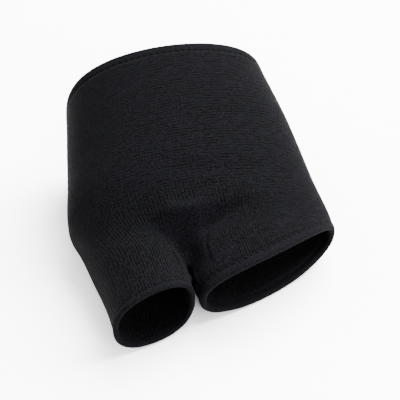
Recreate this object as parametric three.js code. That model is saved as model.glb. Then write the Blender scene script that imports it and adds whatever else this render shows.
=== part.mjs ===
// A knitted forefoot sleeve for a left foot: a wide tube around the ball of the foot
// that splits at its front into a short stall for the big toe and a wide mouth for the
// other toes. It has the form that it takes when worn, and it is hollow from end to end.
// Frame: millimetres, toes towards -Y, heel towards +Y, big toe at -X, +Z up. The origin
// is the middle of the hollow at the ball of the foot.
import * as THREE from 'three';

// Driving sizes
const BALL_WIDTH = 98; // across the sleeve at the ball of the foot
const SLEEVE_LENGTH = 116; // along the foot, from the instep rim to the end of the stall
const INSTEP_HEIGHT = 64; // from the sole to the crown of the instep rim
const WALL = 1.4; // one layer of knit
const SOLE_PAD = 1.6; // what the knit is thicker by under the ball
const SEAM_GAP = 0.3; // between the sleeve and each hem
const CROTCH_DEPTH = 11.0; // from the bottom of the gap between the toes to the hems
const FOLD_HEIGHT = 1.5; // of the highest crease across the ball
const SEAT_HEIGHT = 17; // of the origin over the sole

// Hems: the knit is turned in on itself, so a hem is thicker than the sleeve
const INSTEP_HEM = { width: 4.0, wall: 2.4, lift: 0.25, round: 1.2 };
const TOE_HEM = { width: 4.6, wall: 2.4, lift: 0.25, round: 1.2 };
const STALL_HEM = { width: 2.6, wall: 2.0, lift: 0.15, round: 1.0 };
const HEM_EDGE = 0.4; // share of a hem's wall that is left at its very edge

// Sections of the foot, of the stall and of the toe mouth. Shares of SLEEVE_LENGTH: along.
// Shares of BALL_WIDTH: centre, width, shift (how far the crown leans to the big toe).
// Shares of INSTEP_HEIGHT: widest, top and sole (heights). The powers are 1 for an
// ellipse and less for a fuller, squarer shoulder.
const COLUMNS = ['along', 'centre', 'width', 'widest', 'top', 'sole', 'shift', 'topPower', 'solePower'];
const FOOT = [
  [-0.42, -0.010, 0.930, 0.200, 0.415, 0.015, 0.060, 0.85, 0.50],
  [-0.26, -0.006, 0.950, 0.212, 0.440, 0.006, 0.070, 0.85, 0.60],
  [-0.13, -0.006, 0.979, 0.226, 0.472, 0.000, 0.085, 0.88, 0.60],
  [-0.06, -0.009, 0.984, 0.235, 0.522, 0.000, 0.090, 0.88, 0.50],
  [0.02, -0.020, 0.992, 0.255, 0.582, 0.000, 0.085, 0.90, 0.50],
  [0.11, -0.037, 1.005, 0.290, 0.660, 0.003, 0.070, 0.90, 0.54],
  [0.24, -0.028, 0.970, 0.340, 0.755, 0.012, 0.050, 0.85, 0.58],
  [0.37, -0.022, 0.930, 0.390, 0.850, 0.031, 0.034, 0.78, 0.62],
  [0.59, -0.020, 0.845, 0.470, 0.990, 0.070, 0.034, 0.66, 0.70],
  [0.78, -0.022, 0.790, 0.560, 1.125, 0.110, 0.034, 0.66, 0.75],
];
const STALL = [
  [-0.42, -0.309, 0.339, 0.220, 0.435, 0.024, 0.000, 0.85, 0.90],
  [-0.33, -0.312, 0.324, 0.220, 0.445, 0.012, 0.000, 0.82, 0.80],
  [-0.20, -0.312, 0.336, 0.220, 0.455, 0.006, 0.005, 0.82, 0.65],
  [-0.02, -0.310, 0.394, 0.230, 0.500, 0.000, 0.010, 0.85, 0.55],
];
const TOES = [
  [-0.34, 0.165, 0.580, 0.205, 0.400, 0.014, 0.055, 0.78, 0.85],
  [-0.12, 0.166, 0.608, 0.222, 0.460, 0.004, 0.066, 0.82, 0.75],
  [0.05, 0.180, 0.620, 0.230, 0.520, 0.000, 0.070, 0.85, 0.50],
];

// Rims, each a shallow arc seen from above. Shares of SLEEVE_LENGTH: along, lean (per
// SLEEVE_LENGTH of height). Shares of BALL_WIDTH: vertex (x of the arc's foremost point)
// and bend (how far it falls back at one BALL_WIDTH from there).
const INSTEP_RIM = { along: 0.573, vertex: -0.612, bend: 0.035, lean: -0.10 };
const TOE_RIM = { along: -0.335, vertex: -0.276, bend: 0.47, lean: -0.20 };
const STALL_RIM = { along: -0.400, vertex: -0.612, bend: 0.50, lean: -0.08 };
const RIM_LEVEL = 0.31; // height at which a rim is where its arc says, of INSTEP_HEIGHT

// The cleft between the big toe and the others, which deepens towards the web. The
// angles are those of its line on the foot's section, over the top and under the sole.
const TOP_ANGLE = THREE.MathUtils.degToRad(96.5);
const SOLE_ANGLE = THREE.MathUtils.degToRad(-101);
const CLEFT = { along: -0.05, top: 0.27, sole: 0.094 }; // start of the cleft, ends of the web
const CLEFT_WIDTH = { wide: 0.080, medial: 0.038, lateral: 0.058 }; // half widths, of BALL_WIDTH
const LOBES_ALONG = 0.02; // where the foot's section begins to turn into two lobes

// Creases and dips across the top. Shares of BALL_WIDTH: x, reach. Shares of
// SLEEVE_LENGTH: along, bow (how far the ends fall back), slant (per BALL_WIDTH of x) and
// width. Of FOLD_HEIGHT: height.
const FOLDS = [
  { x: -0.05, along: -0.047, reach: 0.28, bow: 0.030, slant: 0, width: 0.034, height: 0.45 },
  { x: -0.02, along: -0.090, reach: 0.16, bow: 0.016, slant: 0.22, width: 0.024, height: -0.70 },
  { x: 0.08, along: 0.070, reach: 0.24, bow: 0.030, slant: 0, width: 0.026, height: -0.40 },
];

// How finely the surface is cut: points of each arc and of the web, and rows
const LEFT_POINTS = 19;
const RIGHT_POINTS = 31;
const WEB_POINTS = 6;
const BODY_ROWS = 28;
const TUBE_ROWS = 6;
const CROWDING = 0.6; // draws the points of an arc towards the cleft
const HEM_ROWS = [0, 0.3, 1]; // rows of a hem's round edge, as shares of its length
const NORMAL_PASSES = 4; // that make the surface's normals smoother

const knit = new THREE.MeshStandardMaterial({ color: '#252427', roughness: 0.92, metalness: 0 });
const hemKnit = new THREE.MeshStandardMaterial({ color: '#2a292c', roughness: 0.88, metalness: 0 });

function smooth(t) {
  const share = THREE.MathUtils.clamp(t, 0, 1);
  return share * share * (3 - 2 * share);
}

// 0 at both ends of an arc, where the cleft is, and 1 from the share `reach` inwards
function awayFromCleft(share, reach) {
  return smooth(Math.min(share, 1 - share) / reach);
}

// One row of a section table at y, by cubics whose slopes come from the rows beside it
function sectionAt(table, y) {
  const last = table.length - 1;
  const along = THREE.MathUtils.clamp(y / SLEEVE_LENGTH, table[0][0], table[last][0]);
  let row = 0;
  while (row < last - 1 && along > table[row + 1][0]) row += 1;
  const step = table[row + 1][0] - table[row][0];
  const t = (along - table[row][0]) / step;
  const section = {};
  COLUMNS.forEach((name, column) => {
    const slope = (at) => {
      const low = Math.max(at - 1, 0);
      const high = Math.min(at + 1, last);
      return (table[high][column] - table[low][column]) / (table[high][0] - table[low][0]);
    };
    section[name] =
      table[row][column] * (1 + 2 * t) * (1 - t) ** 2 +
      slope(row) * step * t * (1 - t) ** 2 +
      table[row + 1][column] * t * t * (3 - 2 * t) +
      slope(row + 1) * step * t * t * (t - 1);
  });
  return section;
}

// A point of a table's section at y. The angle runs from the little toe's side over the top.
function oval(table, angle, y) {
  const section = sectionAt(table, y);
  const across = Math.cos(angle);
  const rise = Math.abs(Math.sin(angle));
  const onTop = Math.sin(angle) > 0;
  const reach = Math.sign(across) * Math.abs(across) ** (onTop ? 1 : 0.8);
  const lean = onTop ? section.shift * rise ** 2 : 0;
  const height = onTop
    ? section.widest + (section.top - section.widest) * rise ** section.topPower
    : section.widest - (section.widest - section.sole) * rise ** section.solePower;
  const x = BALL_WIDTH * (section.centre + (section.width / 2) * reach - lean);
  return new THREE.Vector3(x, y, INSTEP_HEIGHT * height);
}

// How much the creases across the top lift the surface at x, y
function foldLift(x, y) {
  let lift = 0;
  for (const fold of FOLDS) {
    const away = x / BALL_WIDTH - fold.x;
    const side = away / fold.reach;
    const line = fold.along + fold.bow * side ** 2 + fold.slant * away;
    const ahead = (y / SLEEVE_LENGTH - line) / fold.width;
    lift += FOLD_HEIGHT * fold.height * Math.exp(-(ahead ** 2) - side ** 4);
  }
  return lift;
}

// The two arcs of the sleeve's section: the big toe's side, and the other toes' side.
// `foot` is the range of angles on the foot's section, and `lobe` that on the arc's own.
const FULL_TURN = 2 * Math.PI;
const LEFT = {
  points: LEFT_POINTS,
  foot: [TOP_ANGLE, FULL_TURN + SOLE_ANGLE],
  lobe: [THREE.MathUtils.degToRad(14), THREE.MathUtils.degToRad(334)],
  table: STALL,
  rim: STALL_RIM,
  hem: STALL_HEM,
};
const RIGHT = {
  points: RIGHT_POINTS,
  foot: [SOLE_ANGLE, TOP_ANGLE],
  lobe: [THREE.MathUtils.degToRad(-154), THREE.MathUtils.degToRad(166)],
  table: TOES,
  rim: TOE_RIM,
  hem: TOE_HEM,
};

function lobePoint(arc, share, y) {
  return oval(arc.table, THREE.MathUtils.lerp(arc.lobe[0], arc.lobe[1], share), y);
}

// A point of the sleeve behind the web: the foot's section turns into the arc's lobe, and
// the cleft is pressed in between the two lobes.
function skinPoint(arc, share, y, webY) {
  const angle = THREE.MathUtils.lerp(arc.foot[0], arc.foot[1], share);
  const lobesY = LOBES_ALONG * SLEEVE_LENGTH;
  const cleftY = CLEFT.along * SLEEVE_LENGTH;
  const turned = smooth((lobesY - y) / (lobesY - webY)) * awayFromCleft(share, 0.13);
  const point = oval(FOOT, angle, y).lerp(lobePoint(arc, share, y), turned);
  const near = smooth((cleftY - y) / (cleftY - webY));
  const overTop = Math.sin(angle) > 0;
  const line = oval(FOOT, overTop ? TOP_ANGLE : SOLE_ANGLE, y);
  const level = INSTEP_HEIGHT * (overTop ? CLEFT.top : CLEFT.sole);
  const away = (point.x - line.x) / BALL_WIDTH;
  const narrow = away < 0 ? CLEFT_WIDTH.medial : CLEFT_WIDTH.lateral;
  const half = THREE.MathUtils.lerp(CLEFT_WIDTH.wide, narrow, near);
  const depth = near ** (overTop ? 0.75 : 3) * (1 - turned);
  point.z += (level - line.z) * depth * Math.exp(-((away / half) ** 2));
  point.z += foldLift(point.x, y) * smooth((Math.sin(angle) - 0.25) / 0.5);
  return point;
}

// The y at which a line of the surface meets a rim, found by steps that each go halfway
function meetRim(pointAt, rim) {
  let y = rim.along * SLEEVE_LENGTH;
  for (let step = 0; step < 16; step += 1) {
    const point = pointAt(y);
    const aside = point.x / BALL_WIDTH - rim.vertex;
    const raised = point.z - RIM_LEVEL * INSTEP_HEIGHT;
    const goal = SLEEVE_LENGTH * rim.along + BALL_WIDTH * rim.bend * aside ** 2 + rim.lean * raised;
    y = (y + goal) / 2;
  }
  return y;
}

// Shares along an arc, closer together at its two ends, which lie in the cleft
function arcShares(count) {
  return Array.from({ length: count }, (_, index) => {
    const even = index / (count - 1);
    return even - (CROWDING * Math.sin(FULL_TURN * even)) / FULL_TURN;
  });
}

// The web lies behind both front hems by the crotch's depth
function findWebY() {
  const backs = [LEFT, RIGHT].map((arc) => {
    const side = arc === LEFT ? 0 : Math.PI;
    const rimY = meetRim((y) => oval(arc.table, side, y), arc.rim);
    return rimY + arc.hem.width + SEAM_GAP + CROTCH_DEPTH;
  });
  return Math.max(...backs);
}
const WEB_Y = findWebY();

// The whole outer surface, from rim to rim: points, and quads sorted by piece
const points = [];
const quads = { sleeve: [], instep_hem: [], toe_hem: [], stall_hem: [] };
const rimDistance = [];
const seamPairs = []; // the points on the two sides of each gap between sleeve and hem

function addPoint(point, distance) {
  points.push(point);
  rimDistance.push(distance);
  return points.length - 1;
}

// Quads between two closed rows of points
function addBand(piece, row, next) {
  row.forEach((corner, index) => {
    const beside = (index + 1) % row.length;
    quads[piece].push([corner, row[beside], next[beside], next[index]]);
  });
}

function joinSeam(row, next) {
  row.forEach((corner, index) => seamPairs.push([corner, next[index]]));
}

// Distances of a hem's rows from its rim, and of the sleeve's first row behind it
function hemDistances(hem) {
  const edge = HEM_ROWS.map((share) => share * hem.round);
  return [...edge, hem.width - hem.round, hem.width, hem.width + SEAM_GAP];
}

// Rows of the wide tube, from the instep rim to the web
function buildBody() {
  const lines = [];
  for (const arc of [LEFT, RIGHT]) {
    for (const share of arcShares(arc.points).slice(0, -1)) {
      const pointAt = (y) => skinPoint(arc, share, y, WEB_Y);
      const backY = meetRim(pointAt, INSTEP_RIM);
      const frontY = meetRim(pointAt, arc.rim) + arc.hem.width + SEAM_GAP + CROTCH_DEPTH;
      const endY = THREE.MathUtils.lerp(WEB_Y, frontY, awayFromCleft(share, 0.25));
      lines.push({ pointAt, backY, endY });
    }
  }
  const hemRows = hemDistances(INSTEP_HEM);
  const rows = hemRows.map((distance) =>
    lines.map((line) => addPoint(line.pointAt(line.backY - distance), distance)));
  const start = hemRows[hemRows.length - 1];
  for (let step = 1; step <= BODY_ROWS; step += 1) {
    const share = 1 - (1 - step / BODY_ROWS) ** 1.35; // rows are closer at the front
    rows.push(lines.map((line) => {
      const y = THREE.MathUtils.lerp(line.backY - start, line.endY, share);
      return addPoint(line.pointAt(y), start);
    }));
  }
  for (let index = 1; index < rows.length; index += 1) {
    if (index < hemRows.length - 1) addBand('instep_hem', rows[index - 1], rows[index]);
    if (index === hemRows.length - 1) joinSeam(rows[index - 1], rows[index]);
    if (index > hemRows.length - 1) addBand('sleeve', rows[index - 1], rows[index]);
  }
  return { lines, lastRow: rows[rows.length - 1] };
}

// Rows of one of the two front tubes. Its ring is the arc's end row and the web, whose
// points part from the other tube's in a quarter circle.
function buildTube(arc, startRow, piece) {
  const webShares = Array.from({ length: WEB_POINTS }, (_, index) => (index + 1) / (WEB_POINTS + 1));
  const shares = arcShares(arc.points);
  const [first, last] = arc.lobe;
  const pointAt = shares.map((share) => (y, u) => {
    const apart = u * (1 - awayFromCleft(share, 0.25));
    return skinPoint(arc, share, y, WEB_Y).lerp(lobePoint(arc, share, y), apart);
  });
  for (const share of webShares) {
    const angle = THREE.MathUtils.lerp(last, first + FULL_TURN, share);
    const index = startRow[arc.points + webShares.indexOf(share)];
    pointAt.push((y, u, round) => {
      const from = points[index].clone().setY(y);
      return from.lerp(oval(arc.table, angle, y), round);
    });
  }
  const rimYs = pointAt.map((at) => meetRim((y) => at(y, 1, 1), arc.rim));
  const hemRows = hemDistances(arc.hem).reverse();
  const startYs = startRow.map((index) => points[index].y);
  const rows = [startRow];
  for (let step = 1; step <= TUBE_ROWS + hemRows.length - 1; step += 1) {
    const hemRow = step - TUBE_ROWS;
    const share = Math.min(step / TUBE_ROWS, 1);
    rows.push(pointAt.map((at, index) => {
      const distance = hemRows[Math.max(hemRow, 0)];
      const y = THREE.MathUtils.lerp(startYs[index], rimYs[index] + distance, share);
      return addPoint(at(y, smooth(share), Math.sqrt(1 - (1 - share) ** 2)), distance);
    }));
  }
  for (let index = 1; index < rows.length; index += 1) {
    if (index <= TUBE_ROWS) addBand('sleeve', rows[index - 1], rows[index]);
    if (index === TUBE_ROWS + 1) joinSeam(rows[index - 1], rows[index]);
    if (index > TUBE_ROWS + 1) addBand(piece, rows[index - 1], rows[index]);
  }
}

function buildSurface() {
  const { lastRow } = buildBody();
  const leftRow = lastRow.slice(0, LEFT_POINTS);
  const rightRow = [...lastRow.slice(LEFT_POINTS - 1), lastRow[0]];
  const top = points[lastRow[0]];
  const sole = points[lastRow[LEFT_POINTS - 1]];
  const webUp = [];
  for (let index = 1; index <= WEB_POINTS; index += 1) {
    webUp.push(addPoint(sole.clone().lerp(top, index / (WEB_POINTS + 1)), 0));
  }
  buildTube(LEFT, [...leftRow, ...webUp], 'stall_hem');
  buildTube(RIGHT, [...rightRow, ...webUp.slice().reverse()], 'toe_hem');
}
buildSurface();

// Normals of the whole surface, each the sum of those of the faces around a point, made
// smoother by passes that add those of the points beside it. The two sides of a seam share
// theirs, so that their walls stay apart.
function surfaceNormals() {
  let normals = points.map(() => new THREE.Vector3());
  const around = points.map((_, index) => new Set([index]));
  for (const quad of Object.values(quads).flat()) {
    const [a, b, c, d] = quad.map((index) => points[index]);
    const normal = c.clone().sub(a).cross(d.clone().sub(b));
    quad.forEach((index, corner) => {
      normals[index].add(normal);
      around[index].add(quad[(corner + 1) % 4]).add(quad[(corner + 3) % 4]);
    });
  }
  for (const [corner, across] of seamPairs) {
    const shared = new Set([...around[corner], ...around[across]]);
    around[corner] = shared;
    around[across] = shared;
  }
  for (let pass = 0; pass < NORMAL_PASSES; pass += 1) {
    const sharp = normals.map((normal) => normal.normalize());
    normals = around.map((near) => {
      const sum = new THREE.Vector3();
      near.forEach((index) => sum.add(sharp[index]));
      return sum;
    });
  }
  return normals.map((normal) => normal.normalize());
}
const normals = surfaceNormals();

// Thickness of the sleeve's wall: the sole is padded under the ball
function sleeveWall(index) {
  const under = smooth((-normals[index].z - 0.35) / 0.5);
  const ball = Math.exp(-((points[index].y / (0.3 * SLEEVE_LENGTH)) ** 4));
  return { out: 0, in: WALL + SOLE_PAD * under * ball };
}

// Thickness of a hem. It thins to a round edge at its rim, and to the sleeve's own wall
// along its seam.
function hemWall(hem) {
  return (index) => {
    const distance = rimDistance[index];
    if (distance >= hem.width) return sleeveWall(index);
    const share = Math.min(distance / hem.round, 1);
    const full = HEM_EDGE + (1 - HEM_EDGE) * Math.sqrt(1 - (1 - share) ** 2);
    const thinned = ((1 - full) * hem.wall) / 2;
    return { out: hem.lift - thinned, in: hem.wall - hem.lift - thinned };
  };
}

// A closed body from some of the surface's quads: an outer skin, an inner skin and walls
// along every open edge between them
function thicken(faces, wallAt) {
  const used = [...new Set(faces.flat())];
  const place = new Map(used.map((index, order) => [index, order]));
  const positions = [];
  for (const side of ['out', 'in']) {
    for (const index of used) {
      const offset = side === 'out' ? wallAt(index).out : -wallAt(index).in;
      positions.push(...points[index].clone().addScaledVector(normals[index], offset).toArray());
    }
  }
  const triangles = [];
  const addQuad = (a, b, c, d) => triangles.push(a, b, c, a, c, d);
  const inner = (corner) => corner + used.length;
  const edges = new Set();
  const corners = faces.map((face) => face.map((index) => place.get(index)));
  for (const [a, b, c, d] of corners) {
    addQuad(a, b, c, d);
    addQuad(inner(d), inner(c), inner(b), inner(a));
    [[a, b], [b, c], [c, d], [d, a]].forEach(([from, to]) => edges.add(`${from}>${to}`));
  }
  for (const edge of edges) {
    const [from, to] = edge.split('>').map(Number);
    if (!edges.has(`${to}>${from}`)) addQuad(to, from, inner(from), inner(to));
  }
  const geometry = new THREE.BufferGeometry();
  geometry.setAttribute('position', new THREE.Float32BufferAttribute(positions, 3));
  geometry.setIndex(triangles);
  geometry.computeVertexNormals();
  return geometry;
}

function makePiece(name, geometry, material) {
  const piece = new THREE.Mesh(geometry, material);
  piece.name = name;
  return piece;
}

// The pieces are laid out over the sole and lowered so that the origin is in the hollow
const forefootSleeve = new THREE.Group();
forefootSleeve.add(
  makePiece('sleeve', thicken(quads.sleeve, sleeveWall), knit),
  makePiece('instep_hem', thicken(quads.instep_hem, hemWall(INSTEP_HEM)), hemKnit),
  makePiece('toe_hem', thicken(quads.toe_hem, hemWall(TOE_HEM)), hemKnit),
  makePiece('stall_hem', thicken(quads.stall_hem, hemWall(STALL_HEM)), hemKnit),
);
forefootSleeve.position.z = -SEAT_HEIGHT;

export default forefootSleeve;
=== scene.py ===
"""A knitted forefoot sleeve, made for the left side, with an open stall beside a wide mouth.

Metres. The stall and the mouth open towards -Y, and the instep's opening towards +Y. The
stall is at -X, and +Z is up. The origin is the middle of the hollow at the ball, which is
the sleeve's widest part.
"""
import math

import bpy
import numpy as np
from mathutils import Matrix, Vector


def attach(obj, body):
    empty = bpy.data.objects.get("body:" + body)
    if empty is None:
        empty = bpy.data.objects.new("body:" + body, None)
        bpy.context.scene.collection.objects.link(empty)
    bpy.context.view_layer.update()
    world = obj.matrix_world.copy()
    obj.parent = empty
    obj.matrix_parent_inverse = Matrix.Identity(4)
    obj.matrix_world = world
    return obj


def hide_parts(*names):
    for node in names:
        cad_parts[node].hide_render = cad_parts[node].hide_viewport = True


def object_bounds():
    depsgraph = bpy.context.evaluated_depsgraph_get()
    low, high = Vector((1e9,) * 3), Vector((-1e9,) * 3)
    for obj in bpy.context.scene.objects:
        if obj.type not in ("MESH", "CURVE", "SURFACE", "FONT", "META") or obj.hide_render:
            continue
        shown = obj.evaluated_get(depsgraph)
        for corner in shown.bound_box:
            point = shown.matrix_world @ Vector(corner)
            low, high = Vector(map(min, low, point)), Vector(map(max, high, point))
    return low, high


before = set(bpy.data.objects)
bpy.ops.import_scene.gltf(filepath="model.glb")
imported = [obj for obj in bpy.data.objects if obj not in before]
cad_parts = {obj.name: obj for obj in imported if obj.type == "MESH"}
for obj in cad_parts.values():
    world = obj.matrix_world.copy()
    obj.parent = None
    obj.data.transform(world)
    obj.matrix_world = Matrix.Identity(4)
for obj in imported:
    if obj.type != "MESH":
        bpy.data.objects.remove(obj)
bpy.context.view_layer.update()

# The knit's form
# The whole sleeve is one tube of stretch rib, knitted in the round from black nylon with
# elastane. It widens at the ball, and splits at its front into a short stall and the wide
# toe mouth. The hems are turned and sewn afterwards.
MM = 0.001
BALL_WIDTH = 98 * MM
SLEEVE_LENGTH = 116 * MM
INSTEP_HEIGHT = 64 * MM
SEAT_HEIGHT = 17 * MM  # of the origin over the sole
CROTCH_DEPTH = 11.3 * MM  # from the web between the stall and the mouth to their hems
FOLD_HEIGHT = 1.5 * MM

# Of each hem, in mm: width, wall, length of its round edge, depth of the groove at its
# stitches, and how far its face stands over the sleeve's.
HEM_COLUMNS = ("width", "wall", "edge", "groove", "lift")
INSTEP_HEM, TOE_HEM, STALL_HEM = (
    {name: value * MM for name, value in zip(HEM_COLUMNS, row)}
    for row in ((4.0, 2.4, 0.5, 0.14, 0.08), (4.6, 2.4, 1.2, 0.30, 0.25), (2.6, 2.0, 1.0, 0.0, 0.25))
)

# Shares of SLEEVE_LENGTH: along. Of BALL_WIDTH: centre, width, shift. Of INSTEP_HEIGHT:
# widest, top, sole. The powers are 1 for an ellipse and less for a squarer shoulder.
ACROSS_POWER = 0.8  # of the cosine across the lower half of every section
COLUMNS = ("along", "centre", "width", "widest", "top", "sole", "shift", "top_power", "sole_power")
BODY = (
    (-0.42, -0.010, 0.930, 0.200, 0.415, 0.015, 0.060, 0.85, 0.50),
    (-0.26, -0.006, 0.950, 0.212, 0.440, 0.006, 0.070, 0.85, 0.60),
    (-0.13, -0.006, 0.979, 0.226, 0.472, 0.000, 0.085, 0.88, 0.60),
    (-0.06, -0.009, 0.984, 0.235, 0.522, 0.000, 0.090, 0.88, 0.50),
    (0.02, -0.020, 0.992, 0.255, 0.582, 0.000, 0.085, 0.90, 0.50),
    (0.11, -0.037, 1.005, 0.290, 0.660, 0.003, 0.070, 0.90, 0.54),
    (0.24, -0.028, 0.970, 0.340, 0.755, 0.012, 0.050, 0.85, 0.58),
    (0.37, -0.022, 0.930, 0.390, 0.850, 0.031, 0.034, 0.78, 0.62),
    (0.59, -0.020, 0.845, 0.470, 0.990, 0.070, 0.034, 0.66, 0.70),
    (0.78, -0.022, 0.790, 0.560, 1.125, 0.110, 0.034, 0.66, 0.75),
)
STALL = (
    (-0.42, -0.309, 0.339, 0.220, 0.435, 0.024, 0.000, 0.85, 0.90),
    (-0.33, -0.312, 0.324, 0.220, 0.445, 0.012, 0.000, 0.82, 0.80),
    (-0.20, -0.312, 0.336, 0.220, 0.455, 0.006, 0.005, 0.82, 0.65),
    (-0.02, -0.310, 0.394, 0.230, 0.500, 0.000, 0.010, 0.85, 0.55),
)
MOUTH = (
    (-0.34, 0.165, 0.580, 0.205, 0.400, 0.014, 0.055, 0.78, 0.85),
    (-0.12, 0.166, 0.608, 0.222, 0.460, 0.004, 0.066, 0.82, 0.75),
    (0.05, 0.180, 0.620, 0.230, 0.520, 0.000, 0.070, 0.85, 0.50),
)

# Rims, as shallow arcs seen from above. Shares of SLEEVE_LENGTH: along, lean (per
# SLEEVE_LENGTH of height). Of BALL_WIDTH: vertex (x of the foremost point), bend (how far
# the arc falls back at one BALL_WIDTH from there).
INSTEP_RIM = {"along": 0.573, "vertex": -0.612, "bend": 0.035, "lean": -0.10}
TOE_RIM = {"along": -0.335, "vertex": -0.276, "bend": 0.47, "lean": -0.20}
STALL_RIM = {"along": -0.400, "vertex": -0.612, "bend": 0.50, "lean": -0.08}
RIM_LEVEL = 0.31  # height at which a rim is where its arc says, of INSTEP_HEIGHT

# The cleft between the stall and the mouth, and where the body turns into two lobes
TOP_ANGLE = math.radians(96.5)
SOLE_ANGLE = math.radians(-101)
CLEFT = {"along": -0.05, "top": 0.27, "top_power": 0.75, "sole": 0.094, "sole_power": 3}
CLEFT_WIDTH = {"wide": 0.080, "medial": 0.038, "lateral": 0.058}
LOBES_ALONG = 0.02

# Creases and dips across the top. Shares of BALL_WIDTH: x, reach. Of SLEEVE_LENGTH: along,
# bow (how far the ends fall back), slant (per BALL_WIDTH of x), width. Of FOLD_HEIGHT: height.
FOLDS_START = 0.25  # the sine of the angle from which they fade in, up to three times it
FOLD_COLUMNS = ("x", "along", "reach", "bow", "slant", "width", "height")
FOLDS = (
    (-0.05, -0.047, 0.30, 0.010, 0.06, 0.032, 0.60),
    (-0.02, -0.086, 0.15, 0.010, 0.25, 0.024, -0.85),
    (0.08, 0.070, 0.24, 0.030, 0.00, 0.026, -0.40),
    (-0.20, -0.066, 0.11, 0.000, -0.12, 0.013, -0.40),
    (-0.10, -0.050, 0.24, 0.008, 0.06, 0.012, 0.30),
    (0.03, -0.068, 0.11, 0.000, 0.35, 0.015, -0.60),
    (0.07, 0.026, 0.11, 0.010, 0.19, 0.011, -0.30),
)

# How far in from the cleft things change, as shares of an arc: its lobe, its last row's
# place, and the way of its wales.
LOBE_REACH = 0.13
ROW_REACH = 0.25
WALE_REACH = 0.45

ARC_POINTS = {"left": 96, "right": 150}
WEB_POINTS = 16
BODY_ROWS = 78
TUBE_ROWS = 20
RIM_STEPS = 16  # with which a rim is found
POINT_CROWDING = 0.6  # draws the points of an arc towards the cleft
ROW_CROWDING = 1.15  # draws the rows of the body towards the front
FULL_TURN = 2 * math.pi


def smooth(t):
    """An ease from 0 to 1: three times the square less twice the cube."""
    share = np.clip(t, 0, 1)
    return share * share * (3 - 2 * share)


def lerp(a, b, share):
    """Both values in shares that sum to 1."""
    return a * (1 - share) + b * share


def section_at(table, y):
    """Columns of a section table at each y: cubics whose slopes come from the rows beside them."""
    rows = np.array(table)
    last = len(rows) - 1
    below = np.maximum(np.arange(last + 1) - 1, 0)
    above = np.minimum(np.arange(last + 1) + 1, last)
    slopes = (rows[above] - rows[below]) / (rows[above, :1] - rows[below, :1])
    along = np.clip(y / SLEEVE_LENGTH, rows[0, 0], rows[-1, 0])
    row = np.clip(np.searchsorted(rows[:, 0], along) - 1, 0, last - 1)
    step = (rows[row + 1, 0] - rows[row, 0])[..., None]
    t = (along - rows[row, 0])[..., None] / step
    value = (
        rows[row] * (1 + 2 * t) * (1 - t) ** 2
        + slopes[row] * step * t * (1 - t) ** 2
        + rows[row + 1] * t ** 2 * (3 - 2 * t)
        + slopes[row + 1] * step * t ** 2 * (t - 1)
    )
    return dict(zip(COLUMNS, np.moveaxis(value, -1, 0)))


def oval(table, angle, y):
    """Points of a table's section at y: a cosine across, a power of the sine up or down."""
    section = section_at(table, y)
    across = np.cos(angle)
    rise = np.abs(np.sin(angle))
    on_top = np.sin(angle) > 0
    reach = np.sign(across) * np.abs(across) ** np.where(on_top, 1, ACROSS_POWER)
    lean = np.where(on_top, section["shift"] * rise ** 2, 0)
    over = (section["top"] - section["widest"]) * rise ** section["top_power"]
    under = (section["widest"] - section["sole"]) * rise ** section["sole_power"]
    x = BALL_WIDTH * (section["centre"] + section["width"] / 2 * reach - lean)
    z = INSTEP_HEIGHT * (section["widest"] + np.where(on_top, over, -under))
    return np.stack(np.broadcast_arrays(x, y, z), -1)


def fold_lift(x, y):
    """Sum of ridges and grooves: bell curves along y about a bowed line, faded out along x."""
    lift = np.zeros(np.broadcast(x, y).shape)
    for row in FOLDS:
        fold = dict(zip(FOLD_COLUMNS, row))
        away = x / BALL_WIDTH - fold["x"]
        side = away / fold["reach"]
        line = fold["along"] + fold["bow"] * side ** 2 + fold["slant"] * away
        ahead = (y / SLEEVE_LENGTH - line) / fold["width"]
        lift += FOLD_HEIGHT * fold["height"] * np.exp(-ahead ** 2 - side ** 4)
    return lift


# The two arcs of the section: the stall's side, and the mouth's side. "body" is the range
# of angles on the body's section, and "lobe" that on the arc's own.
LEFT = {
    "points": ARC_POINTS["left"],
    "body": (TOP_ANGLE, FULL_TURN + SOLE_ANGLE),
    "lobe": (math.radians(14), math.radians(334)),
    "table": STALL,
    "rim": STALL_RIM,
    "hem": STALL_HEM,
}
RIGHT = {
    "points": ARC_POINTS["right"],
    "body": (SOLE_ANGLE, TOP_ANGLE),
    "lobe": (math.radians(-154), math.radians(166)),
    "table": MOUTH,
    "rim": TOE_RIM,
    "hem": TOE_HEM,
}


def away_from_cleft(share, reach):
    """0 at both ends of an arc, where the cleft is, and 1 from the share `reach` inwards."""
    return smooth(np.minimum(share, 1 - share) / reach)


def lobe_point(arc, share, y):
    """Points of the arc's own oval: the stall's or the mouth's."""
    return oval(arc["table"], lerp(*arc["lobe"], share), y)


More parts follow.
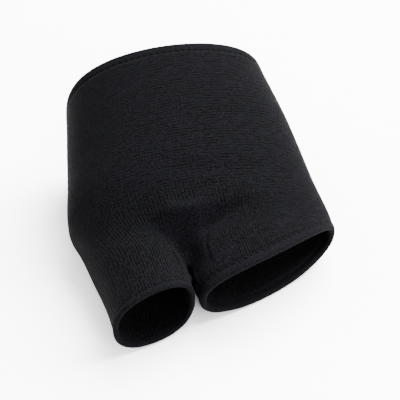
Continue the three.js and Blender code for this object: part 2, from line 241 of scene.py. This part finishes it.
def skin_point(arc, share, y, web_y):
    """The body's section turned into the arc's lobe, with the cleft pressed in between."""
    angle = lerp(*arc["body"], share)
    lobes_y = LOBES_ALONG * SLEEVE_LENGTH
    cleft_y = CLEFT["along"] * SLEEVE_LENGTH
    turned = smooth((lobes_y - y) / (lobes_y - web_y)) * away_from_cleft(share, LOBE_REACH)
    point = lerp(oval(BODY, angle, y), lobe_point(arc, share, y), turned[..., None])
    near = smooth((cleft_y - y) / (cleft_y - web_y))
    over = np.sin(angle) > 0
    line = oval(BODY, np.where(over, TOP_ANGLE, SOLE_ANGLE), y)
    level = INSTEP_HEIGHT * np.where(over, CLEFT["top"], CLEFT["sole"])
    away = (point[..., 0] - line[..., 0]) / BALL_WIDTH
    narrow = np.where(away < 0, CLEFT_WIDTH["medial"], CLEFT_WIDTH["lateral"])
    half = lerp(CLEFT_WIDTH["wide"], narrow, near)
    depth = near ** np.where(over, CLEFT["top_power"], CLEFT["sole_power"]) * (1 - turned)
    point[..., 2] += (level - line[..., 2]) * depth * np.exp(-(away / half) ** 2)
    on_top = smooth((np.sin(angle) - FOLDS_START) / FOLDS_START / 2)
    point[..., 2] += fold_lift(point[..., 0], y) * on_top
    return point


def meet_rim(point_at, rim, count):
    """The y at which each of `count` lines meets a rim, found by steps that each go halfway."""
    y = np.full(count, rim["along"] * SLEEVE_LENGTH)
    for _ in range(RIM_STEPS):
        point = point_at(y)
        aside = point[:, 0] / BALL_WIDTH - rim["vertex"]
        raised = point[:, 2] - RIM_LEVEL * INSTEP_HEIGHT
        goal = SLEEVE_LENGTH * rim["along"] + BALL_WIDTH * rim["bend"] * aside ** 2
        y = (y + goal + rim["lean"] * raised) / 2
    return y


def arc_shares(count):
    """Shares along an arc, closer together at its two ends: an even share less a sine."""
    even = np.linspace(0, 1, count)
    return even - POINT_CROWDING * np.sin(FULL_TURN * even) / FULL_TURN


def find_web_y():
    """The web lies behind both front hems by the crotch's depth."""
    backs = []
    for arc, side in ((LEFT, 0), (RIGHT, math.pi)):
        rim_y = meet_rim(lambda y: oval(arc["table"], side, y), arc["rim"], 1)[0]
        backs.append(rim_y + arc["hem"]["width"] + CROTCH_DEPTH)
    return max(backs)


WEB_Y = find_web_y()
EDGE_STEPS = 5  # rows of a hem's round edge
ROW_STEP = 0.3 * MM  # between the other rows of a hem


def hem_distances(hem):
    """Distances of a hem's rows from its rim: a quarter circle of the edge, then even steps."""
    edge = hem["edge"] * (1 - np.cos(np.linspace(0, math.pi / 2, EDGE_STEPS)))
    length = hem["width"] - hem["edge"]
    flat = np.linspace(hem["edge"], hem["width"], round(length / ROW_STEP))
    return np.concatenate([edge, flat[1:]])


class Surface:
    """The whole outer surface, rim to rim: points, and quads with what each corner carries."""

    def __init__(self):
        self.points = []
        self.edge = []  # distance of each point from the rim of its hem, or far away
        self.count = 0
        self.bands = {}
        self.hems = {}

    def add(self, points, edge):
        """Adds a block of points and returns their numbers in the same shape."""
        shape = points.shape[:-1]
        self.points.append(points.reshape(-1, 3))
        self.edge.append(np.broadcast_to(edge, shape).reshape(-1))
        numbers = self.count + np.arange(math.prod(shape)).reshape(shape)
        self.count += math.prod(shape)
        return numbers

    def band(self, piece, rows, wales, courses):
        """Quads between rows of points, with the wale and the course at each."""
        uv = np.stack([wales, courses], -1)
        quads = [grid_quads(grid) for grid in (rows, uv)]
        self.bands.setdefault(piece, []).append(quads)


def grid_quads(grid):
    """The four corners of each cell of a grid, in the order that faces outwards."""
    corners = [grid[:-1, :-1], grid[:-1, 1:], grid[1:, 1:], grid[1:, :-1]]
    return np.stack(corners, 2).reshape(-1, 4, *grid.shape[2:])


def lengths_along(points):
    """Distance along each column of a grid of points from its first row."""
    steps = np.linalg.norm(np.diff(points, axis=0), axis=-1)
    return np.concatenate([np.zeros_like(points[:1, :, 0]), np.cumsum(steps, 0)])


# Wales are the knit's columns of stitches, and courses its rows. A 1 by 1 rib of this yarn
# has a wale every 1.45 mm when it is stretched as worn, and a course every 1.3 mm.
WALE = 1.45 * MM
COURSE = 1.3 * MM
BALL_ALONG = 0.08  # the section on which the wales are counted, of SLEEVE_LENGTH
TURN_LENGTH = 14 * MM  # over which the wales in front of it turn straight ahead


def wale_counts():
    """How far across the knit each column of points is, in whole wales for each arc."""
    counts = {}
    start = 0
    for name, arc in (("left", LEFT), ("right", RIGHT)):
        shares = arc_shares(arc["points"])
        ball = skin_point(arc, shares, np.full(len(shares), BALL_ALONG * SLEEVE_LENGTH), WEB_Y)
        across = lengths_along(ball[:, None])[:, 0]
        whole = round(across[-1] / WALE)
        counts[name] = start + whole * across / across[-1]
        start += whole
    return counts


WALES = wale_counts()


def body_angle(points, on_top):
    """The angle at which the body's whole section has a point's x: 0 on the side off the stall."""
    section = section_at(BODY, points[..., 1])
    aside = points[..., 0] / BALL_WIDTH - section["centre"]
    half, shift = section["width"] / 2, section["shift"]
    over = (np.sqrt(np.maximum(half ** 2 + 4 * shift * (shift + aside), 0)) - half) / (2 * shift)
    under = np.sign(aside) * np.abs(aside / half) ** (1 / ACROSS_POWER)
    angle = np.arccos(np.clip(np.where(on_top, over, under), -1, 1))
    return np.where(on_top, angle, -angle)


def wale_grid(name, arc, points):
    """The wale at each point of a grid whose first columns are the arc's.

    Behind the ball and along the sides a wale keeps to one line of points. In front of the
    ball the wales beside the cleft run straight ahead, and end at the cleft.
    """
    lines = WALES[name]
    shares = arc_shares(arc["points"])
    angles = lerp(*arc["body"], shares)
    columns = points.shape[1]
    on_top = np.concatenate([np.sin(angles) > 0, np.ones(columns - len(lines), bool)])
    angle = body_angle(points, on_top)
    if name == "left":
        angle = angle % FULL_TURN
    straight = np.interp(angle, angles, lines)
    kept = np.concatenate([lines, np.full(columns - len(lines), lines[-1])])
    beside_cleft = 1 - away_from_cleft(shares, WALE_REACH)
    beside_cleft = np.concatenate([beside_cleft, np.ones(columns - len(lines))])
    front = smooth((BALL_ALONG * SLEEVE_LENGTH - points[..., 1]) / TURN_LENGTH)
    return lerp(kept, straight, front * beside_cleft)


def closed(grid):
    """A grid with its first column once more at its end."""
    return np.concatenate([grid, grid[:, :1]], 1)


def build_body(surface):
    """The wide tube, from the instep rim to the web: rows of points along lines of one share."""
    blocks = []
    for arc in (LEFT, RIGHT):
        shares = arc_shares(arc["points"])[:-1]

        def point_at(y, arc=arc, shares=shares):
            return skin_point(arc, shares, y, WEB_Y)

        back_y = meet_rim(point_at, INSTEP_RIM, len(shares))
        front_y = meet_rim(point_at, arc["rim"], len(shares)) + arc["hem"]["width"] + CROTCH_DEPTH
        end_y = lerp(WEB_Y, front_y, away_from_cleft(shares, ROW_REACH))
        hem_rows = hem_distances(INSTEP_HEM)[:, None]
        fall = 1 - (1 - np.linspace(0, 1, BODY_ROWS + 1)[1:, None]) ** ROW_CROWDING
        y = np.concatenate([back_y - hem_rows, lerp(back_y - hem_rows[-1], end_y, fall)])
        blocks.append(point_at(y))
    points = np.concatenate(blocks, 1)
    hem_count = len(hem_rows)
    edge = np.full(points.shape[:2], np.inf)
    edge[:hem_count] = hem_rows
    numbers = surface.add(points, edge)
    surface.hems["instep_hem"] = (numbers[:hem_count], hem_rows[:, 0])
    courses = lengths_along(points) / COURSE
    corner = LEFT["points"] - 1
    for name, arc, side in (
        ("left", LEFT, slice(0, corner + 1)),
        ("right", RIGHT, slice(corner, None)),
    ):
        rows, places, counts = (closed(grid)[:, side] for grid in (numbers, points, courses))
        wales = wale_grid(name, arc, places)
        surface.band("instep_hem", rows[:hem_count], wales[:hem_count], counts[:hem_count])
        surface.band("sleeve", rows[hem_count - 1:], wales[hem_count - 1:], counts[hem_count - 1:])
    return numbers[-1], points[-1], courses[-1]


def build_tube(surface, arc, name, piece, start, start_points, start_courses):
    """A front tube: the arc's lines and the web's, which part in a quarter circle."""
    shares = arc_shares(arc["points"])
    web_shares = np.arange(1, WEB_POINTS + 1) / (WEB_POINTS + 1)
    first, last = arc["lobe"]
    web_angle = lerp(last, first + FULL_TURN, web_shares)
    web_points = start_points[len(shares):]
    count = len(start)

    def point_at(y, u, rounded):
        apart = (u * (1 - away_from_cleft(shares, ROW_REACH)))[..., None]
        arc_y, web_y = y[..., :len(shares)], y[..., len(shares):]
        skin = lerp(skin_point(arc, shares, arc_y, WEB_Y), lobe_point(arc, shares, arc_y), apart)
        flat = np.stack(np.broadcast_arrays(web_points[:, 0], web_y, web_points[:, 2]), -1)
        web = lerp(flat, oval(arc["table"], web_angle, web_y), rounded)
        return np.concatenate([skin, web], -2)

    rim_y = meet_rim(lambda y: point_at(y, 1, 1), arc["rim"], count)
    hem_rows = hem_distances(arc["hem"])[::-1]
    turn = np.linspace(0, math.pi / 2, TUBE_ROWS + 1)[1:]
    rows = []
    for angle in turn:
        share = 1 - math.cos(angle)
        y = lerp(start_points[:, 1], rim_y + arc["hem"]["width"], share)
        rows.append(point_at(y, smooth(share), math.sin(angle)))
    for distance in hem_rows[1:]:
        rows.append(point_at(rim_y + distance, 1, 1))
    points = np.stack(rows)
    edge = np.full(points.shape[:2], np.inf)
    edge[TUBE_ROWS - 1:] = hem_rows[:, None]
    numbers = closed(np.concatenate([start[None], surface.add(points, edge)]))
    points = closed(np.concatenate([start_points[None], points]))
    courses = closed(start_courses[None])[0] + lengths_along(points) / COURSE
    wales = wale_grid(name, arc, points)
    hem_start = TUBE_ROWS
    surface.hems[piece] = (numbers[:hem_start - 1:-1, :-1], hem_rows[::-1])
    surface.band("sleeve", numbers[:hem_start + 1], wales[:hem_start + 1], courses[:hem_start + 1])
    surface.band(piece, numbers[hem_start:], wales[hem_start:], courses[hem_start:])


def build_surface():
    """Body, web and the two front tubes. The web is a straight line of points at first."""
    surface = Surface()
    end, end_points, end_courses = build_body(surface)
    corner = LEFT["points"] - 1
    share = (np.arange(1, WEB_POINTS + 1) / (WEB_POINTS + 1))[:, None]
    web_points = lerp(end_points[corner], end_points[0], share)
    web = surface.add(web_points, np.inf)
    web_courses = lerp(end_courses[corner], end_courses[0], share[:, 0])
    left = np.r_[0:corner + 1]
    right = np.r_[corner:len(end), 0]
    for arc, name, piece, side, turn in (
        (LEFT, "left", "stall_hem", left, 1),
        (RIGHT, "right", "toe_hem", right, -1),
    ):
        start = np.concatenate([end[side], web[::turn]])
        start_points = np.concatenate([end_points[side], web_points[::turn]])
        start_courses = np.concatenate([end_courses[side], web_courses[::turn]])
        build_tube(surface, arc, name, piece, start, start_points, start_courses)
    return surface


surface = build_surface()
points = np.concatenate(surface.points)
edge = np.concatenate(surface.edge)
every_quad = np.concatenate([quads for bands in surface.bands.values() for quads, _ in bands])
sides = np.concatenate([every_quad[:, [a, (a + 1) % 4]] for a in range(4)])


def spread(values, passes):
    """Averages values over each point and the points beside it, several times."""
    for _ in range(passes):
        total = values.copy()
        number = np.ones(len(values))
        for here, there in ((0, 1), (1, 0)):
            np.add.at(total, sides[:, here], values[sides[:, there]])
            np.add.at(number, sides[:, here], 1)
        values = total / number[:, None]
    return values


def surface_normals(points, passes):
    """Unit sums of the cross products of each quad's diagonals, spread over their neighbours."""
    a, b, c, d = (points[every_quad[:, corner]] for corner in range(4))
    cross = np.cross(c - a, d - b)
    normals = np.zeros_like(points)
    for corner in range(4):
        np.add.at(normals, every_quad[:, corner], cross)
    normals /= np.linalg.norm(normals, axis=1)[:, None]
    normals = spread(normals, passes)
    return normals / np.linalg.norm(normals, axis=1)[:, None]


WEB_REACH = 5.0 * MM  # how far from the web the surface is evened out
WEB_PASSES = 40
NORMAL_PASSES = 6
web_top, web_sole = (
    oval(BODY, np.array(angle), np.array(WEB_Y)) for angle in (TOP_ANGLE, SOLE_ANGLE)
)
web_top[2], web_sole[2] = INSTEP_HEIGHT * CLEFT["top"], INSTEP_HEIGHT * CLEFT["sole"]


def even_out_web(points):
    """Points near the web's line moved to the average of their neighbours' places."""
    line = web_sole - web_top
    share = np.clip((points - web_top) @ line / (line @ line), 0, 1)
    away = np.linalg.norm(points - web_top - share[:, None] * line, axis=1)
    weight = np.exp(-(away / WEB_REACH) ** 4)[:, None]
    return lerp(points, spread(points, WEB_PASSES), weight)


points = even_out_web(points)
normals = surface_normals(points, NORMAL_PASSES)

# The sleeve
# A single layer of the rib, 1.4 mm thick, and thicker under the ball. Nylon and elastane
# yarn, dyed black, with hardly any gloss.
WALL = 1.4 * MM
SOLE_PAD = 1.6 * MM
PAD_REACH = 0.3  # in front of the ball and behind it, of SLEEVE_LENGTH
PAD_FACING = (0.35, 0.85)  # how far down the skin faces where the pad starts and is whole
KNIT_DARK = "#010101"
KNIT_LIGHT = "#08080b"


def linear(colour):
    """An sRGB hex colour as linear red, green, blue and alpha."""
    channels = np.array([int(colour[i:i + 2], 16) for i in (1, 3, 5)]) / 255
    low = channels / 12.92
    high = ((channels + 0.055) / 1.055) ** 2.4
    return (*np.where(channels <= 0.04045, low, high), 1)


def add_mesh(name, points, quads, uv, material, smooth_count):
    """A mesh object with a UV map named knit. The first smooth_count quads are shaded smooth."""
    mesh = bpy.data.meshes.new(name)
    mesh.from_pydata(points, [], quads.tolist())
    layer = mesh.uv_layers.new(name="knit")
    layer.data.foreach_set("uv", uv.reshape(-1).astype(np.float32))
    mesh.polygons.foreach_set("use_smooth", np.arange(len(quads)) < smooth_count)
    mesh.materials.append(material)
    mesh.validate()
    piece = bpy.data.objects.new(name, mesh)
    bpy.context.scene.collection.objects.link(piece)
    return piece


def thicken(name, bands, out, inward, material):
    """A closed wall: an outer and an inner skin of the quads, and edge walls between them."""
    quads = np.concatenate([quads for quads, _ in bands])
    uv = np.concatenate([uv for _, uv in bands])
    used, local = np.unique(quads, return_inverse=True)
    quads = local.reshape(quads.shape)
    base, lift = points[used], normals[used]
    outer = base + lift * out[used, None]
    inner = base - lift * inward[used, None]
    inner_quads = quads[:, ::-1] + len(used)
    ways = np.concatenate([quads[:, [a, (a + 1) % 4]] for a in range(4)])
    way_uv = np.concatenate([uv[:, [a, (a + 1) % 4]] for a in range(4)])
    size = len(used)
    there, back = ways[:, 0] * size + ways[:, 1], ways[:, 1] * size + ways[:, 0]
    open_edge = ~np.isin(there, back)
    start, end = ways[open_edge].T
    walls = np.stack([end, start, start + size, end + size], 1)
    wall_uv = way_uv[open_edge][:, [1, 0, 0, 1]]
    every = np.concatenate([quads, inner_quads, walls])
    every_uv = np.concatenate([uv, uv[:, ::-1], wall_uv])
    seated = np.concatenate([outer, inner]) - np.array([0, 0, SEAT_HEIGHT])
    return add_mesh(name, seated, every, every_uv, material, 2 * len(quads))


def sleeve_wall():
    """Wall of one layer, with a pad that fades out away from the sole under the ball."""
    start, whole = PAD_FACING
    under = smooth((-normals[:, 2] - start) / (whole - start))
    ball = np.exp(-(points[:, 1] / (PAD_REACH * SLEEVE_LENGTH)) ** 4)
    return WALL + SOLE_PAD * under * ball


def new_material(name, values):
    """A material with those values on its shader's sockets. Returns it and its shader."""
    material = bpy.data.materials.new(name)
    material.use_nodes = True
    shader = material.node_tree.nodes["Principled BSDF"]
    for socket, value in values.items():
        shader.inputs[socket].default_value = value
    return material, shader


def node(tree, kind, inputs=(), **settings):
    """Adds a node with its settings. An input is a value, a socket, or a node's first output."""
    made = tree.nodes.new(kind)
    for name, value in settings.items():
        setattr(made, name, value)
    for name, value in dict(inputs).items():
        if isinstance(value, bpy.types.Node):
            value = value.outputs[0]
        if isinstance(value, bpy.types.NodeSocket):
            tree.links.new(value, made.inputs[name])
        else:
            made.inputs[name].default_value = value
    return made


# Ovals, seen from above, in which the knit lies slack: the dip behind the cleft, and the
# cleft. Relief is 0 up to the first share of an oval's size and whole from the second.
SLACK = {
    "off_dip": {"x": -8 * MM, "y": -10 * MM, "half_width": 20 * MM, "half_length": 9 * MM},
    "off_cleft": {"x": -6.5 * MM, "y": -28 * MM, "half_width": 11 * MM, "half_length": 18 * MM},
}
SLACK_EASE = (0.3, 1.2)

# The knit's relief and tone, as steps with a name, an operation and what goes in: numbers,
# or the names of earlier steps. EASE takes a value, and where it is 0 and 1. NOISE takes the
# size of its grains in mm along x, y and z, and its detail.
KNIT_STEPS = (
    # The ribs open from the ball forwards, less so on the side off the stall.
    ("opened", "EASE", "y", 9 * MM, -6 * MM),
    ("medial", "EASE", "x", 26 * MM, 6 * MM),
    ("ribbed", "MULTIPLY", "opened", "medial"),
    ("front", "EASE", "y", -14 * MM, -28 * MM),
    ("lateral", "EASE", "x", -30 * MM, 30 * MM),
    ("taut", "MULTIPLY", "off_dip", "off_cleft"),
    # Gaps between the wales, at whole numbers. They wander and break off.
    ("wander", "NOISE", (2.2, 2.2, 2.2), 1.0),
    ("shift", "MULTIPLY_ADD", "wander", 0.5, -0.25),
    ("wale_at", "ADD", "wale", "shift"),
    ("wale_share", "FRACT", "wale_at"),
    ("wale_side", "SUBTRACT", "wale_share", 0.5),
    ("off_ridge", "ABSOLUTE", "wale_side"),
    ("wale_gap", "EASE", "off_ridge", 0.22, 0.48),
    ("wale_noise", "NOISE", (0.8, 1.8, 0.8), 1.0),
    ("wale_runs", "EASE", "wale_noise", 0.36, 0.56),
    ("broken_wales", "MULTIPLY", "wale_gap", "wale_runs"),
    ("open_wales", "MULTIPLY", "broken_wales", "ribbed"),
    ("more_in_front", "MULTIPLY_ADD", "front", 0.6, 1.0),
    ("along_ribs", "MULTIPLY", "open_wales", "more_in_front"),
    # Gaps between the courses, which slant up to the middle of each wale.
    ("course_shift", "MULTIPLY", "shift", 0.4),
    ("slant", "MULTIPLY_ADD", "off_ridge", 0.5, "course_shift"),
    ("course_at", "ADD", "course", "slant"),
    ("course_share", "FRACT", "course_at"),
    ("course_side", "SUBTRACT", "course_share", 0.5),
    ("off_course", "ABSOLUTE", "course_side"),
    ("course_gap", "EASE", "off_course", 0.22, 0.48),
    ("course_noise", "NOISE", (2.8, 0.6, 2.8), 1.0),
    ("course_dashes", "EASE", "course_noise", 0.44, 0.58),
    ("broken_courses", "MULTIPLY", "course_gap", "course_dashes"),
    ("less_in_ribs", "MULTIPLY_ADD", "ribbed", -0.7, 1.0),
    ("closed_courses", "MULTIPLY", "broken_courses", "less_in_ribs"),
    ("more_at_side", "MULTIPLY_ADD", "lateral", 0.35, 0.55),
    ("across_ribs", "MULTIPLY", "closed_courses", "more_at_side"),
    ("gaps", "ADD", "along_ribs", "across_ribs"),
    ("deep_gaps", "MULTIPLY", "gaps", "depth"),
    ("cuts", "MULTIPLY", "deep_gaps", "taut"),
    # The yarn's own grain is finer than this. It is drawn as coarse as it needs to show.
    ("yarn_noise", "NOISE", (0.5, 0.4, 0.5), 2.0),
    ("grain", "EASE", "yarn_noise", 0.32, 0.68),
    ("yarn_height", "MULTIPLY_ADD", "grain", 0.3, 0.7),
    ("height", "SUBTRACT", "yarn_height", "cuts"),
    ("side_contrast", "MULTIPLY_ADD", "lateral", 0.25, 0.80),
    ("contrast", "MULTIPLY_ADD", "front", 0.9, "side_contrast"),
    ("off_middle", "SUBTRACT", "grain", 0.5),
    ("grain_tone", "MULTIPLY_ADD", "off_middle", "contrast", 0.5),
    ("tone", "SUBTRACT", "grain_tone", "cuts"),
)


def rib_knit(name, dark, light, relief, depth, sheen):
    """Matt black rib. The dyed yarn hardly shines, and shows by the dark gaps in its relief."""
    values = {
        "Roughness": 0.85,
        "Specular IOR Level": 0.01,
        "Sheen Weight": sheen,
        "Sheen Roughness": 0.4,
    }
    material, shader = new_material(name, values)
    tree = material.node_tree
    place = node(tree, "ShaderNodeTexCoord").outputs["Object"]
    where = node(tree, "ShaderNodeSeparateXYZ", {0: place}).outputs
    knit_map = node(tree, "ShaderNodeUVMap", uv_map="knit")
    wale, course, _ = node(tree, "ShaderNodeSeparateXYZ", {0: knit_map}).outputs
    made = {"x": where[0], "y": where[1], "wale": wale, "course": course, "depth": depth}
    for slack, shape in SLACK.items():
        inputs = {
            "Vector": place,
            "Location": (-shape["x"] / shape["half_width"], -shape["y"] / shape["half_length"], 0),
            "Scale": (1 / shape["half_width"], 1 / shape["half_length"], 0),
        }
        from_middle = node(tree, "ShaderNodeMapping", inputs)
        away = node(tree, "ShaderNodeVectorMath", {0: from_middle}, operation="LENGTH")
        inputs = zip(("Value", "From Min", "From Max"), (away.outputs["Value"], *SLACK_EASE))
        made[slack] = node(tree, "ShaderNodeMapRange", inputs, interpolation_type="SMOOTHSTEP")
    for step, operation, *entries in KNIT_STEPS:
        entries = [made.get(entry, entry) for entry in entries]
        if operation == "EASE":
            inputs = zip(("Value", "From Min", "From Max"), entries)
            made[step] = node(tree, "ShaderNodeMapRange", inputs, interpolation_type="SMOOTHSTEP")
        elif operation == "NOISE":
            size, detail = entries
            scale = [1 / (part * MM) for part in size]
            scaled = node(tree, "ShaderNodeMapping", {"Vector": place, "Scale": scale})
            inputs = {"Vector": scaled, "Scale": 1.0, "Detail": detail}
            made[step] = node(tree, "ShaderNodeTexNoise", inputs)
        else:
            made[step] = node(tree, "ShaderNodeMath", enumerate(entries), operation=operation)
    colours = {0: made["tone"], 6: linear(dark), 7: linear(light)}
    colour = node(tree, "ShaderNodeMix", colours, data_type="RGBA")
    relief_inputs = {"Height": made["height"], "Distance": relief, "Strength": 1.0}
    bump = node(tree, "ShaderNodeBump", relief_inputs)
    tree.links.new(colour.outputs[2], shader.inputs["Base Color"])
    tree.links.new(bump.outputs[0], shader.inputs["Normal"])
    return material


knit_material = rib_knit(
    "black_rib_knit", KNIT_DARK, KNIT_LIGHT, relief=0.35 * MM, depth=1.0, sheen=0.005
)
sleeve = thicken(
    "knit_sleeve", surface.bands["sleeve"], np.zeros(len(points)), sleeve_wall(), knit_material
)
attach(sleeve, "root")
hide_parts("sleeve")

# The hems
# The same knit turned in on itself: a band around each opening, 2.4 mm thick or 2.0 mm at
# the stall, and smoother than the rib. Its rim is round. The two wide bands have a groove
# where they are sewn down.
SEAM_MARGIN = 0.8 * MM  # from the line of stitches to a hem's seam with the sleeve
SEAM_EASE = 1.2 * MM  # over which a hem's face runs into the sleeve's
GROOVE_WIDTH = 0.45 * MM
THIN_END = 0.08  # half thickness at the very rim, as a share
HEM_DARK = "#030304"
HEM_LIGHT = "#08080a"


def stitch_line(hem):
    """Distance of a hem's line of stitches from its rim."""
    return hem["width"] - SEAM_MARGIN


def hem_walls(hem):
    """Half an oval at the rim, then the full wall, lifted a little from the sleeve's face.

    The face is drawn in by a bell curve along the line of stitches.
    """
    radius = hem["wall"] / 2
    share = np.clip(edge / hem["edge"], 0, 1)
    half = radius * lerp(THIN_END, 1, np.sqrt(1 - (1 - share) ** 2))
    seam = smooth((hem["width"] - edge) / SEAM_EASE)
    drawn_in = hem["groove"] * np.exp(-((edge - stitch_line(hem)) / GROOVE_WIDTH) ** 2)
    out = lerp(0, half + hem["lift"] - radius, seam) - drawn_in
    inward = lerp(sleeve_wall(), half - hem["lift"] + radius, seam)
    return out, inward


hem_material = rib_knit(
    "black_hem_knit", HEM_DARK, HEM_LIGHT, relief=0.12 * MM, depth=0.4, sheen=0.001
)
for name, hem in (("instep_hem", INSTEP_HEM), ("toe_hem", TOE_HEM), ("stall_hem", STALL_HEM)):
    out, inward = hem_walls(hem)
    band = thicken(name + "_band", surface.bands[name], out, inward, hem_material)
    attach(band, "root")
    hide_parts(name)

# The stitches
# Each wide hem is sewn down with one row of lockstitch in black polyester thread. The
# thread dips into the knit between two stitches, so that each shows as a short bead.
STITCH_PITCH = 2.6 * MM
STITCH = np.array([0.90, 0.40, 0.18]) * MM  # half length, half width, half height
STITCH_LIFT = 0.05 * MM  # of a stitch's middle over the bottom of the groove
BEAD_ROWS = 7
BEAD_COLUMNS = 8


def bead():
    """A sphere of radius 1 as a grid: rows of latitude from end to end, along the first axis."""
    latitude = np.linspace(0, math.pi, BEAD_ROWS)[:, None]
    longitude = np.linspace(0, FULL_TURN, BEAD_COLUMNS, endpoint=False)
    around = np.sin(latitude)
    ends = np.broadcast_to(-np.cos(latitude), (BEAD_ROWS, BEAD_COLUMNS))
    corners = np.stack([ends, around * np.cos(longitude), around * np.sin(longitude)], -1)
    numbers = np.arange(BEAD_ROWS * BEAD_COLUMNS).reshape(BEAD_ROWS, BEAD_COLUMNS)
    return corners.reshape(-1, 3), grid_quads(closed(numbers))


def add_stitches(name, piece, hem):
    """Beads at even steps along the ring of points at the line of stitches."""
    rows, distances = surface.hems[piece]
    line = stitch_line(hem)
    row = np.searchsorted(distances, line) - 1
    share = (line - distances[row]) / (distances[row + 1] - distances[row])
    ring = lerp(points[rows[row]], points[rows[row + 1]], share)
    lift = lerp(normals[rows[row]], normals[rows[row + 1]], share)
    ring, lift = (np.concatenate([values, values[:1]]) for values in (ring, lift))
    passed = lengths_along(ring[:, None])[:, 0]
    count = round(passed[-1] / STITCH_PITCH)
    steps = (np.arange(count) + 0.5) * passed[-1] / count

    def at(values, where):
        return np.stack([np.interp(where % passed[-1], passed, part) for part in values.T], -1)

    up = at(lift, steps)
    up /= np.linalg.norm(up, axis=1)[:, None]
    along = at(ring, steps + MM) - at(ring, steps - MM)
    along -= up * (along * up).sum(1)[:, None]
    along /= np.linalg.norm(along, axis=1)[:, None]
    middle = at(ring, steps) + up * (hem["lift"] - hem["groove"] + STITCH_LIFT)
    middle[:, 2] -= SEAT_HEIGHT
    corners, quads = bead()
    axes = np.stack([along, np.cross(up, along), up], 1)
    every = (middle[:, None] + (corners * STITCH) @ axes).reshape(-1, 3)
    numbers = (quads + len(corners) * np.arange(count)[:, None, None]).reshape(-1, 4)
    uv = np.zeros((len(numbers), 4, 2))
    row_of_beads = add_mesh(name, every, numbers, uv, thread_material, len(numbers))
    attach(row_of_beads, "root")
    return row_of_beads


def black_thread():
    """Twisted polyester thread, dyed black. It is smoother than the knit, but hardly shines."""
    values = {"Base Color": linear("#000000"), "Roughness": 0.8, "Specular IOR Level": 0.02}
    return new_material("black_polyester_thread", values)[0]


thread_material = black_thread()
stitches = [
    add_stitches("instep_stitches", "instep_hem", INSTEP_HEM),
    add_stitches("toe_stitches", "toe_hem", TOE_HEM),
]

# The floor, the lights and the camera
# A white floor just under the sole. A large soft light from above on the right, weaker ones
# from the left and from the front, and a bright white surround.
WHITE = "#ffffff"
FLOOR_SIZE = 3.0  # half a side, in metres
FLOOR_GAP = 0.1 * MM  # under the sleeve's lowest point
LIGHTS = (
    {"name": "key_light", "place": (0.75, 0.4, 1.0), "size": 1.5, "watts": 270},
    {"name": "fill_light", "place": (-0.9, 0.2, 0.5), "size": 0.6, "watts": 10},
    {"name": "front_light", "place": (0.2, -1.0, 0.6), "size": 0.8, "watts": 28},
)
SURROUND_STRENGTH = 1.9


def add_floor():
    """A flat square far larger than the sleeve, in smooth white paint."""
    size = FLOOR_SIZE
    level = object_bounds()[0][2] - FLOOR_GAP
    mesh = bpy.data.meshes.new("floor")
    corners = [(-size, -size, level), (size, -size, level), (size, size, level), (-size, size, level)]
    mesh.from_pydata(corners, [], [(0, 1, 2, 3)])
    material, _ = new_material("white_floor", {"Base Color": linear(WHITE), "Roughness": 0.8})
    mesh.materials.append(material)
    floor = bpy.data.objects.new("floor", mesh)
    bpy.context.scene.collection.objects.link(floor)


def add_light(name, place, size, watts):
    """A square area light that faces the origin."""
    light = bpy.data.lights.new(name, "AREA")
    light.size = size
    light.energy = watts
    lamp = bpy.data.objects.new(name, light)
    lamp.location = place
    toward = -np.array(place)
    across = math.hypot(toward[0], toward[1])
    lamp.rotation_euler = (math.atan2(across, -toward[2]), 0, math.atan2(-toward[0], toward[1]))
    bpy.context.scene.collection.objects.link(lamp)


add_floor()
for light in LIGHTS:
    add_light(**light)
world = bpy.data.worlds.new("white_surround")
world.use_nodes = True
background = world.node_tree.nodes["Background"]
background.inputs["Color"].default_value = linear(WHITE)
background.inputs["Strength"].default_value = SURROUND_STRENGTH
bpy.context.scene.world = world

TARGET = np.array([-2.0, 8.0, 8.0]) * MM
AZIMUTH = math.radians(-14)
ELEVATION = math.radians(38)
DISTANCE = 540 * MM
SENSOR = 36.0  # mm
IMAGE_SIZE = 400  # pixels
FOCAL_PIXELS = 1404  # the photograph's focal length in its pixels

camera_data = bpy.data.cameras.new("camera")
camera_data.sensor_width = SENSOR
camera_data.lens = SENSOR * FOCAL_PIXELS / IMAGE_SIZE
camera = bpy.data.objects.new("camera", camera_data)
back = np.array([
    math.sin(AZIMUTH) * math.cos(ELEVATION),
    -math.cos(AZIMUTH) * math.cos(ELEVATION),
    math.sin(ELEVATION),
])
camera.location = TARGET + back * DISTANCE
camera.rotation_euler = (math.pi / 2 - ELEVATION, 0, AZIMUTH)
bpy.context.scene.collection.objects.link(camera)
bpy.context.scene.camera = camera
